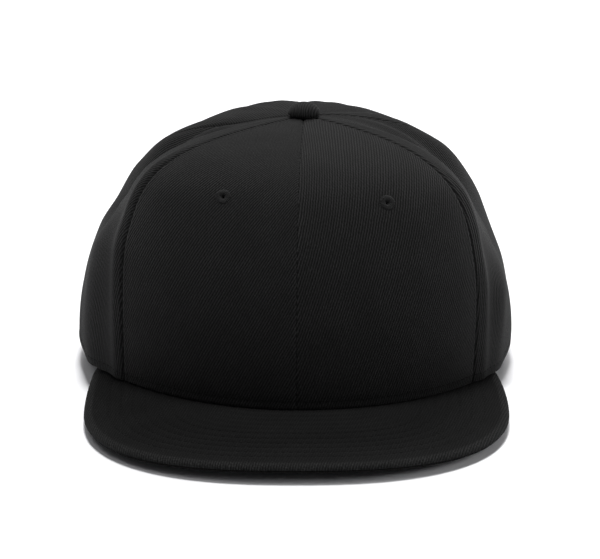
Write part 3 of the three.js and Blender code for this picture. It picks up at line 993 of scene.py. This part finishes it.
def weave_map(azimuth, share, middle, lean):
    """Place of each point on the flat cloth, turned so that the ribs run along its second axis."""
    table = np.linspace(0, 1, 80)
    spine = base_point(middle, table)
    run = np.concatenate([[0], np.cumsum(np.linalg.norm(np.diff(spine, axis=0), axis=1))])
    width = np.linalg.norm(base_point(middle + 1, table) - base_point(middle - 1, table), axis=1)
    u = np.radians(azimuth - middle) * np.interp(share, table, width / math.radians(2))
    v = np.interp(share, table, run)
    tilt = math.radians(lean)
    return np.stack([u * math.cos(tilt) - v * math.sin(tilt), u * math.sin(tilt) + v * math.cos(tilt)], -1)


def rounded_rows(low, azimuth, thick, top, count):
    """Shares of a panel's rows from its rounded lower edge to the top, and the edge's depth at each."""
    turn = np.linspace(0, np.pi / 2, 6)[:, None]
    step = np.linalg.norm(base_point(azimuth, low + 0.01) - base_point(azimuth, low), axis=-1) / 0.01
    lead = low + thick / 2 * (1 - np.cos(turn)) / step
    rest = lead[-1] + (top - lead[-1]) * np.linspace(0, 1, count)[1:, None] ** 1.25
    depth = np.concatenate([thick / 2 * (1 - np.sin(turn)), np.zeros((count - 1, 1))])
    return np.concatenate([lead, rest]), depth


def crown_panel(name, first, last, lean):
    """One panel: a cloth shell with rounded hem, sunk seams, stitched rows, folds and wrinkles."""
    azimuth = panel_columns(first, last)
    azimuth[0] -= 0.01
    azimuth[-1] += 0.01
    share, edge = rounded_rows(arch_share(azimuth), azimuth, crown().cloth, TOP_SHARE, 136)
    azimuth = np.broadcast_to(azimuth, share.shape)
    outer, normal = crown_face(azimuth, share)
    outer = outer - normal * edge[..., None]
    inner = crown_point(azimuth, share, crown().cloth - edge)
    return shell(name, outer, inner, weave_map(azimuth, share, (first + last) / 2, lean))


def eyelet_place(azimuth, share):
    """Moves points that stand along +Z so that they stand on the crown at an eyelet."""
    azimuth, share = np.array([float(azimuth)]), np.array([share])
    across = crown_point(azimuth + 1, share, 0) - crown_point(azimuth - 1, share, 0)
    up = crown_point(azimuth, share + 0.01, 0) - crown_point(azimuth, share - 0.01, 0)
    normal = unit(np.cross(across, up))[0]
    side = unit(across)[0]
    turn = np.stack([side, np.cross(normal, side), normal])
    centre = in_row(crown_point(azimuth, share, 0))[0]
    return lambda points: points @ turn + centre


def pierced(panel, place):
    """Cuts the eyelet's hole through a panel."""
    radius, reach = 1.6 * MM, 5 * MM
    cutter = turned("cutter", [(0, -reach), (radius, -reach), (radius, reach), (0, reach)], 16, place)
    cut = panel.modifiers.new("hole", "BOOLEAN")
    cut.operation, cut.object, cut.solver = "DIFFERENCE", cutter, "EXACT"
    plain_mesh(panel)
    bpy.data.objects.remove(cutter)
    return panel


class CAP_OT_stage(bpy.types.Operator):
    """Sets the camera, the table and the lights"""

    bl_idname = "cap.stage"
    bl_label = "Camera, table and lights"

    def execute(self, context):
        scene = context.scene
        scene.view_settings.view_transform = "Standard"
        elevation, distance = math.radians(18.2), 1.9
        back = Vector((0, -math.cos(elevation), math.sin(elevation)))
        lens = bpy.data.cameras.new("camera")
        lens.lens, lens.sensor_width, lens.clip_end = 257.3, 36, 100
        camera = bpy.data.objects.new("camera", lens)
        aim = in_row(top_point()) + np.array((-1.73, -0.72, -75.37)) * MM
        camera.location = Vector(aim) + back * distance
        camera.rotation_euler = (-back).to_track_quat("-Z", "Y").to_euler()
        scene.collection.objects.link(camera)
        scene.camera = camera
        half, level = 12, -0.2 * MM
        corners = [(-half, -half, level), (half, -half, level), (half, half, level), (-half, half, level)]
        table = new_object("table", corners, [[0, 1, 2, 3]])
        table.data.materials.append(table_paper())
        world = bpy.data.worlds.new("studio")
        world.use_nodes = True
        sky = world.node_tree.nodes["Background"]
        sky.inputs["Color"].default_value = linear("#f1f1f6")
        sky.inputs["Strength"].default_value = 0.12
        scene.world = world
        # name, place in metres, width and depth in metres, power in watts
        lamps = (
            ("overhead", (0.0, 0.0, 2.4), (0.5, 0.5), 50),
            ("above_behind", (0.15, 1.35, 1.6), (1.2, 0.7), 27),
            ("right_side", (1.8, -0.3, 0.9), (0.8, 0.8), 6),
            ("front_right", (1.5, -1.7, 1.5), (1.2, 1.0), 7),
            ("front_left", (-0.9, -0.9, 2.2), (0.8, 0.8), 7),
        )
        for name, place, (wide, deep), power in lamps:
            light = bpy.data.lights.new(name, "AREA")
            light.shape, light.size, light.size_y, light.energy = "RECTANGLE", wide, deep, power
            lamp = bpy.data.objects.new(name, light)
            lamp.location = place
            lamp.rotation_euler = (-Vector(place)).to_track_quat("-Z", "Y").to_euler()
            scene.collection.objects.link(lamp)
        return {"FINISHED"}


class CAP_OT_panels(bpy.types.Operator):
    """Makes the six panels of the crown"""

    bl_idname = "cap.panels"
    bl_label = "Crown panels"

    def execute(self, context):
        back, left, middle, right = seams()[1:5]
        spans = ((left, 0), (0, right), (back, left), (right, -back), (-180, back), (-back, 180))
        for (name, eyelet, lean), (first, last) in zip(PANELS, spans):
            panel = crown_panel(name + "_cloth", first, last, lean)
            pierced(panel, eyelet_place(*eyelet))
            finished(panel, crown_twill(), "crown_twill", name)
        return {"FINISHED"}


def seam_path(azimuth, low, high):
    """Path along a seam, from one share of the meridian to another."""
    share = np.linspace(low, high, 90)
    points, out = crown_face(np.full(90, float(azimuth)), share, 0.1 * MM)
    return in_row(points), out, False


def crown_row(azimuth, share):
    """Path of a row of stitches through places on the crown."""
    points, out = crown_face(azimuth, share, 0.1 * MM)
    return in_row(points), out, False


class CAP_OT_stitching(bpy.types.Operator):
    """Sews the seams, the hem and the edge of the back opening"""

    bl_idname = "cap.stitching"
    bl_label = "Crown stitching"

    def execute(self, context):
        size = trim()
        opening = float(arch_share(np.array([180.0]))[0])
        paths = [seam_path(seam, 0.03, 0.95) for seam in seams()[1:-1]]
        paths.append(seam_path(180, opening + 0.02, 0.95))
        shape = stitch_shape(0.62 * size.seam_pitch, size.stitch_width)
        seam = copies_along("seam_stitches", paths, shape, size.seam_pitch, sewing_thread(), 0.08, 0.1)
        finished(seam, sewing_thread(), "eyelet_thread")

        foot = 180 - math.degrees(crown().arch_angle)
        azimuth = np.linspace(3 - foot, foot - 3, 700)
        share = crown().hem_row / (hem_distance(azimuth, np.ones(700)))
        rows = [crown_row(azimuth, share)]
        wide = math.degrees(crown().arch_angle) * (1 + crown().arch_row / crown().arch_height)
        turn = np.linspace(0.04, math.pi - 0.04, 260)
        azimuth = wrapped(180 - wide * np.cos(turn))
        height = (crown().arch_height + crown().arch_row) * np.sin(turn)
        rows.append(crown_row(azimuth, share_at_height(azimuth, height)))
        for side in (-1, 1):
            azimuth = np.full(20, side * (180 - math.degrees(trim().strap_angle) + 1.5))
            rows.append(crown_row(azimuth, share_at_height(azimuth, np.linspace(4, 21, 20) * MM)))
        shape = stitch_shape(size.stitch_length, size.stitch_width)
        row = copies_along("hem_stitches", rows, shape, size.stitch_pitch, sewing_thread(), 0.06, 0.08)
        finished(row, sewing_thread(), "eyelet_thread")
        return {"FINISHED"}


class CAP_OT_eyelets(bpy.types.Operator):
    """Makes the six sewn eyelets"""

    bl_idname = "cap.eyelets"
    bl_label = "Eyelets"

    def execute(self, context):
        size = trim()
        hole, ring = size.eyelet_hole, size.eyelet_ring
        outline = [
            (hole, -1.9 * MM),
            (1.5 * MM, -1.9 * MM),
            (1.5 * MM, -0.2 * MM),
            (ring + 0.95 * MM, -0.2 * MM),
            (ring + 0.95 * MM, 0.2 * MM),
            (ring + 0.6 * MM, 0.3 * MM),
            (ring, 0.4 * MM),
            (ring - 0.6 * MM, 0.3 * MM),
            (ring - 1.1 * MM, 0.1 * MM),
            (hole, -0.4 * MM),
        ]
        for name, eyelet, _ in PANELS:
            place = eyelet_place(*eyelet)
            pad = turned("pad", outline, 32, place)
            turn = np.linspace(0, 2 * np.pi, 48, endpoint=False)
            circle = np.stack([ring * np.cos(turn), ring * np.sin(turn), 0 * turn - 0.1 * MM], -1)
            out = place(circle + (0, 0, 1)) - place(circle)
            arc = np.linspace(-0.25, math.pi + 0.25, 7)[:, None]
            rim = np.linspace(0, 2 * np.pi, 5, endpoint=False)[None, :]
            reach = 1.05 * MM + size.eyelet_thread / 2 * np.cos(rim)
            across = size.eyelet_thread / 2 * np.sin(rim) + 0 * arc
            bend = np.stack([across, reach * np.cos(arc), 0.5 * reach * np.sin(arc)], -1)
            strand = sweep("strand", bend, np.zeros(bend.shape[:2] + (2,)))
            pitch = 2 * np.pi * ring / 25.5
            paths = [(place(circle), out, True)]
            sewn = copies_along("sewn", paths, strand, pitch, eyelet_thread(), 0.1, 0.05)
            whole = joined(name.replace("panel", "eyelet") + "_ring", [pad, sewn])
            finished(whole, eyelet_thread(), "eyelet_thread", name.replace("panel", "eyelet"))
        return {"FINISHED"}


class CAP_OT_button(bpy.types.Operator):
    """Makes the cloth-covered button on top"""

    bl_idname = "cap.button"
    bl_label = "Top button"

    def execute(self, context):
        size = trim()
        radius, rim, tall = size.button_radius, size.button_rim, size.button_height
        turn = np.linspace(-0.5 * np.pi, 0.5 * np.pi, 40)
        rise = np.where(turn < 0, rim * (1 + np.sin(turn)), rim + (tall - rim) * np.sin(turn))
        out = radius * np.where(turn < 0, 0.9 + 0.1 * np.cos(turn), np.cos(turn) ** 0.9)
        outline = [(0, 0.0), *zip(out, rise)]
        outline[-1] = (0, tall)
        top = top_point() + (0, 0, crown().gap)

        def place(points):
            """Pleats where the cloth is gathered under the rim, then the button's own place."""
            around = np.arctan2(points[:, 1], points[:, 0])
            low = 1 - smooth(points[:, 2] / (0.45 * tall))
            pleat = 1 + 0.012 * low * np.sin(18 * around + 0.7 * np.sin(3 * around))
            return in_row(points * np.stack([pleat, pleat, np.ones(len(points))], -1) + top)

        button = turned("top_button_cloth", outline, 96, place)
        layer = button.data.uv_layers["weave"]
        crest = in_row(top)[2] + tall
        for loop, spot in zip(button.data.loops, layer.data):
            x, y, z = button.data.vertices[loop.vertex_index].co
            low = 1 + 0.3 * (crest - z) / tall
            spot.uv = ((x * 0.94 - y * 0.34) * low, (x * 0.34 + y * 0.94) * low)
        finished(button, button_twill(), "button_twill", "crown_button")
        return {"FINISHED"}


def peak_edge(share):
    """Outline of the peak from above, for a share from the left corner to the right one."""
    board, side = peak(), np.where(share < 0.5, -1.0, 1.0)
    away, front = np.abs(share - 0.5) * 2, 0.8
    half = np.where(side < 0, crown().half_left, crown().half_right)
    corner_right, corner_forward = corner_place(half)
    turn = np.pi / 2 * np.clip(away / front, 0, 1)
    power = 2 / board.squareness
    depth = board.length + board.widest_back
    right = board.half_width * np.sin(turn) ** power
    forward = depth * np.maximum(np.cos(turn), 0) ** power - board.widest_back
    back = np.clip((away - front) / (1 - front), 0, 1)
    right = np.where(
        away <= front,
        right,
        board.half_width + (corner_right + board.corner_overhang - board.half_width) * back**2,
    )
    rising = -board.widest_back + (corner_forward + board.widest_back) * back
    forward = np.where(away <= front, forward, rising)
    return np.stack([side * right, -crown().half_length - forward], -1)


def even_outline(count):
    """Shares of the peak's outline at even distances along it."""
    fine = np.linspace(0, 1, 6001)
    run = np.concatenate([[0], np.cumsum(np.linalg.norm(np.diff(peak_edge(fine), axis=0), axis=1))])
    return np.interp(np.linspace(0, run[-1], count), run, fine)


def edge_distance(points, outline):
    """Distance from points to the peak's outline, both seen from above."""
    gaps = (np.linalg.norm(row[:, None] - outline[None], axis=-1) for row in points)
    return np.stack([np.min(gap, axis=1) for gap in gaps])


def peak_grid(inset, columns, rows):
    """Grid of the peak from its edge to its root under the hem, with the distance to the edge."""
    across = even_outline(columns)
    edge = peak_edge(across)
    along_edge = unit(np.gradient(edge, axis=0))
    edge = edge + np.stack([-along_edge[:, 1], along_edge[:, 0]], -1) * inset
    azimuth = (across * 2 - 1) * math.degrees(peak().corner)
    hem = hem_point(azimuth)[:, :2]
    root = hem - unit(hem) * crown().cloth
    reach = np.linalg.norm(root - edge, axis=-1)
    roll = np.minimum(peak().roll, 0.45 * reach)
    turn = np.linspace(0, np.pi / 2, 12)[:, None]
    step = np.concatenate(
        [roll * (1 - np.cos(turn)), roll + (reach - roll) * np.linspace(0, 1, rows)[1:, None]],
    )
    out = 1 - step / reach
    flat = edge + (root - edge) * (1 - out)[..., None]
    outline = peak_edge(even_outline(2400))
    far = np.maximum(edge_distance(flat, outline) - inset, 0)
    far[0] = 0
    lift = left_lift(azimuth) * (1 - out) ** 2
    height = peak_height(flat[..., 0], -crown().half_length - flat[..., 1]) + lift
    return flat, height, far, unit(edge - root)


def edge_roll(far, wide, tall):
    """How far a rolled edge of that width and height has dropped, and the cloth used up on the way."""
    turn = np.linspace(0, np.pi / 2, 60)
    across, down = wide * (1 - np.cos(turn)), tall * (1 - np.sin(turn))
    run = np.concatenate([[0], np.cumsum(np.hypot(np.diff(across), np.diff(down)))])
    spare = (run[-1] - run) - (wide - across)
    return np.interp(far, across, down), np.interp(far, across, spare)


def row_channels(far, inset=0.0):
    """Share of a stitched channel's depth at each distance from the peak's edge."""
    return sum(dip(far - row * MM + inset, peak().row_width) for row in PEAK_ROWS)


def raised(flat, height):
    return np.concatenate([flat, height[..., None]], -1)


def peak_rows(points, far, inset, out):
    """Paths of the peak's rows of stitches, where they aren't hidden under the crown."""
    paths = []
    for row in PEAK_ROWS:
        place = row * MM - inset
        seen = far[-1] > place + 1.8 * MM
        line = [
            [np.interp(place, far[:, i], points[:, i, k]) for k in range(3)] for i in np.flatnonzero(seen)
        ]
        line = in_row(np.array(line))
        paths.append((line, np.tile(np.array(out, float), (len(line), 1)), False))
    return paths


class CAP_OT_peak(bpy.types.Operator):
    """Makes the peak: its upper cover, lower cover and rows of stitches"""

    bl_idname = "cap.peak"
    bl_label = "Peak"

    def execute(self, context):
        board, tilt = peak(), math.radians(12)
        turn = np.array([[math.cos(tilt), math.sin(tilt)], [-math.sin(tilt), math.cos(tilt)]])
        flat, height, far, outward = peak_grid(0.0, 261, 128)
        lower_round = 0.3 * MM
        roll, spare = edge_roll(far, board.roll, board.top_thick - lower_round)
        pucker = 0.12 * MM * np.sin(far / (5.2 * MM) * np.pi) ** 2 * smooth((far - 6 * MM) / (6 * MM))
        top = raised(flat, height - roll - board.row_depth * row_channels(far) + pucker)
        under_roll, _ = edge_roll(far, lower_round, lower_round)
        bottom = raised(flat, height - board.top_thick + under_roll)
        weave = (flat + outward * spare[..., None]) @ turn
        # Painted highlight: the cover is coloured lighter where it rolls over the edge
        rolled = smooth((board.roll + 0.4 * MM - far) / (1.2 * MM))
        turned_over = (grid[::-1, ::-1] for grid in (top, bottom, weave, rolled))
        cover = shell("peak_top_cloth", *turned_over)
        closed(cover, turn_out=True)
        finished(cover, peak_twill(), "peak_twill", "peak_top")
        paths = peak_rows(top + (0, 0, 0.06 * MM), far, 0.0, (0, 0, 1))

        flat, height, far, outward = peak_grid(board.under_inset, 241, 90)
        start = board.top_thick + crown().gap
        round_edge, _ = edge_roll(far, 0.5 * MM, 0.5 * MM)
        top = raised(flat, height - start)
        channels = row_channels(far, board.under_inset)
        bottom = raised(flat, height - start - board.under_thick + round_edge + 0.12 * MM * channels)
        cover = shell("peak_under_cloth", top, bottom, flat @ turn)
        closed(cover, turn_out=True)
        finished(cover, under_twill(), "underside_twill", "peak_underside")
        paths += peak_rows(bottom - (0, 0, 0.02 * MM), far, board.under_inset, (0, 0, -1))

        shape = stitch_shape(trim().stitch_length, trim().stitch_width)
        rows = copies_along("peak_stitches", paths, shape, trim().stitch_pitch, sewing_thread(), 0.05, 0.08)
        finished(rows, sewing_thread(), "eyelet_thread")
        return {"FINISHED"}


class CAP_OT_sweatband(bpy.types.Operator):
    """Makes the sweatband inside the hem"""

    bl_idname = "cap.sweatband"
    bl_label = "Sweatband"

    def execute(self, context):
        size = trim()
        end = 180 - math.degrees(size.band_angle)
        azimuth = np.linspace(-end, end, 361)
        thick, depth = size.band_thick, crown().cloth + crown().gap
        share, edge = rounded_rows(np.zeros(361), azimuth, thick, size.band_share, 26)
        azimuth = np.broadcast_to(azimuth, share.shape)
        top = smooth((size.band_share - share) / 0.006) * 0.5 + 0.5
        plump = 0.4 * MM * np.sin(np.pi * np.clip(share / size.band_share, 0, 1)) ** 2
        row = 0.3 * MM * dip(hem_distance(azimuth, share) - 4 * MM, 0.8 * MM)
        outer = crown_point(azimuth, share, depth + edge + (1 - top) * thick * 0.4)
        inner = crown_point(azimuth, share, depth + thick - edge + plump - row - (1 - top) * thick * 0.4)
        radius = (crown().half_left + crown().half_right) / 2
        weave = np.stack([np.radians(azimuth) * radius, hem_distance(azimuth, share)], -1)
        weave = weave @ np.array([[0.82, 0.57], [-0.57, 0.82]])
        band = shell("sweatband_tape", outer, inner, weave)
        finished(band, band_tape(), "sweatband_tape", "sweatband")

        azimuth = np.linspace(3 - end, end - 3, 600)
        share = 4 * MM / hem_distance(azimuth, np.ones(600))
        line = crown_point(azimuth, share, depth + thick - 0.2 * MM)
        paths = [(in_row(line), -base_normal(azimuth, share), False)]
        shape = stitch_shape(size.stitch_length, size.stitch_width)
        rows = copies_along("band_stitches", paths, shape, size.stitch_pitch, sewing_thread(), 0.05, 0.08)
        finished(rows, sewing_thread(), "eyelet_thread")
        return {"FINISHED"}


def strap_point(turn, height, depth):
    """Point of the strap, for an angle from the middle of the back (degrees, positive to the left)."""
    azimuth = wrapped(180 - np.asarray(turn, float))
    turn, height = np.broadcast_arrays(azimuth, height)
    point = crown_point(turn, share_at_height(turn, height), depth)
    point[..., 2] = height
    return point


def strap_band(name, first, last, outer, inner, tip):
    """Moulded band with rounded edges and a low border; tip rounds its last end off."""
    tall, stations = trim().strap_height, np.linspace(first, last, 121)
    if tip:
        stations = last - (last - first) * (1 - np.linspace(0, 1, 121)) ** 1.4
    rise = np.linspace(0, 1, 25)
    border = 0.22 * MM * (dip(rise - 0.085, 0.035) + dip(rise - 0.915, 0.035))
    inside = (1 - np.minimum(rise, 1 - rise) / 0.025).clip(0)
    corner = 0.5 * MM * (1 - np.sqrt(np.clip(1 - inside**2, 0, 1)))
    front, back = outer - border + corner, inner - corner
    ring_depth = np.concatenate([front, back[::-1]])
    ring_rise = np.concatenate([rise, rise[::-1]])
    span = math.degrees(9 * MM / crown().half_length)
    near = np.clip((stations - (last - span)) / span, 0, 1) if tip else np.zeros(121)
    narrow = np.sqrt(np.clip(1 - near**2, 0.0016, 1))[:, None]
    height = tall / 2 + (ring_rise[None, :] - 0.5) * tall * narrow
    points = in_row(strap_point(stations[:, None], height, np.broadcast_to(ring_depth, height.shape)))
    weave = np.stack([np.radians(stations)[:, None] * crown().half_length + 0 * height, height], -1)
    return sweep(name, points, weave)


class CAP_OT_strap(bpy.types.Operator):
    """Makes the snap strap with its overlapping end and pegs"""

    bl_idname = "cap.strap"
    bl_label = "Snap strap"

    def execute(self, context):
        size = trim()
        whole, lap_from, lap_to, pitch = (
            math.degrees(a) for a in (size.strap_angle, size.lap_from, size.lap_to, size.peg_pitch)
        )
        depth = crown().cloth + crown().gap
        face = depth - size.lap_thick
        inner = strap_band("inner", -whole, whole, depth + 0.02 * MM, depth + size.strap_thick, False)
        lap = strap_band("lap", lap_from, lap_to, face, depth - 0.05 * MM, True)
        radius, tall = size.peg_radius, size.peg_height

        def pegs(first, count, base, rim):
            turn = np.linspace(first, first + pitch * (count - 1), 40)
            line = strap_point(turn, np.full(40, size.strap_height / 2), np.full(40, base))
            out = unit((line - top_point()) * (1, 1, 0))
            collar = ((1.45, -0.4), (1.45, 0.1), (1.36, 0.28), (1.22, 0.28), (1.14, 0.05)) if rim else ()
            dome = ((0.95, 0.25), (1, 0.45), (0.95, 0.75), (0.75, 0.95), (0.35, 1), (0, 1))
            profile = [(0, -0.4 * MM), *((radius * out, up * MM) for out, up in collar)]
            profile += [(radius * 0.95, -0.1 * MM), *((radius * out, up * tall) for out, up in dome)]
            shape = turned("peg", profile, 32)
            step = np.linalg.norm(line[-1] - line[0]) / max(count - 1, 1) * 0.995
            return copies_along("pegs", [(in_row(line), out, False)], shape, step, strap_plastic())

        snapped = pegs(lap_from + 0.7 * pitch, 6, face, True)
        spare = pegs(lap_to + 0.9 * pitch, 2, depth, False)
        strap = joined("snap_strap_plastic", [inner, lap, snapped, spare])
        finished(strap, strap_plastic(), "strap_plastic", "snap_strap")
        return {"FINISHED"}


class CAP_PT_panel(bpy.types.Panel):
    """Lists the steps that build the cap, and its sizes and colours"""

    bl_idname = "CAP_PT_panel"
    bl_label = "Snapback cap"
    bl_space_type = "VIEW_3D"
    bl_region_type = "UI"
    bl_category = "Cap"

    def draw(self, context):
        for step in OPERATORS:
            self.layout.operator(step.bl_idname)
        for label, group in (
            ("Crown", context.scene.cap_crown),
            ("Peak", context.scene.cap_peak),
            ("Trim", context.scene.cap_trim),
            ("Finish", context.scene.cap_finish),
        ):
            box = self.layout.box()
            box.label(text=label)
            for key in group.__annotations__:
                box.prop(group, key)


OPERATORS = (
    CAP_OT_stage,
    CAP_OT_panels,
    CAP_OT_stitching,
    CAP_OT_eyelets,
    CAP_OT_button,
    CAP_OT_peak,
    CAP_OT_sweatband,
    CAP_OT_strap,
)
GROUPS = (
    ("cap_crown", CrownSizes), ("cap_peak", PeakSizes), ("cap_trim", TrimSizes), ("cap_finish", CapFinish)
)


def register():
    for _, group in GROUPS:
        bpy.utils.register_class(group)
    for step in OPERATORS:
        bpy.utils.register_class(step)
    bpy.utils.register_class(CAP_PT_panel)
    for name, group in GROUPS:
        setattr(bpy.types.Scene, name, PointerProperty(type=group))


def unregister():
    for name, _ in GROUPS:
        delattr(bpy.types.Scene, name)
    bpy.utils.unregister_class(CAP_PT_panel)
    for step in reversed(OPERATORS):
        bpy.utils.unregister_class(step)
    for _, group in reversed(GROUPS):
        bpy.utils.unregister_class(group)


def main():
    """Builds the cap on its stage."""
    register()
    bpy.ops.cap.stage()
    bpy.ops.cap.panels()
    bpy.ops.cap.stitching()
    bpy.ops.cap.eyelets()
    bpy.ops.cap.button()
    bpy.ops.cap.peak()
    bpy.ops.cap.sweatband()
    bpy.ops.cap.strap()


if __name__ == "__main__":
    main()
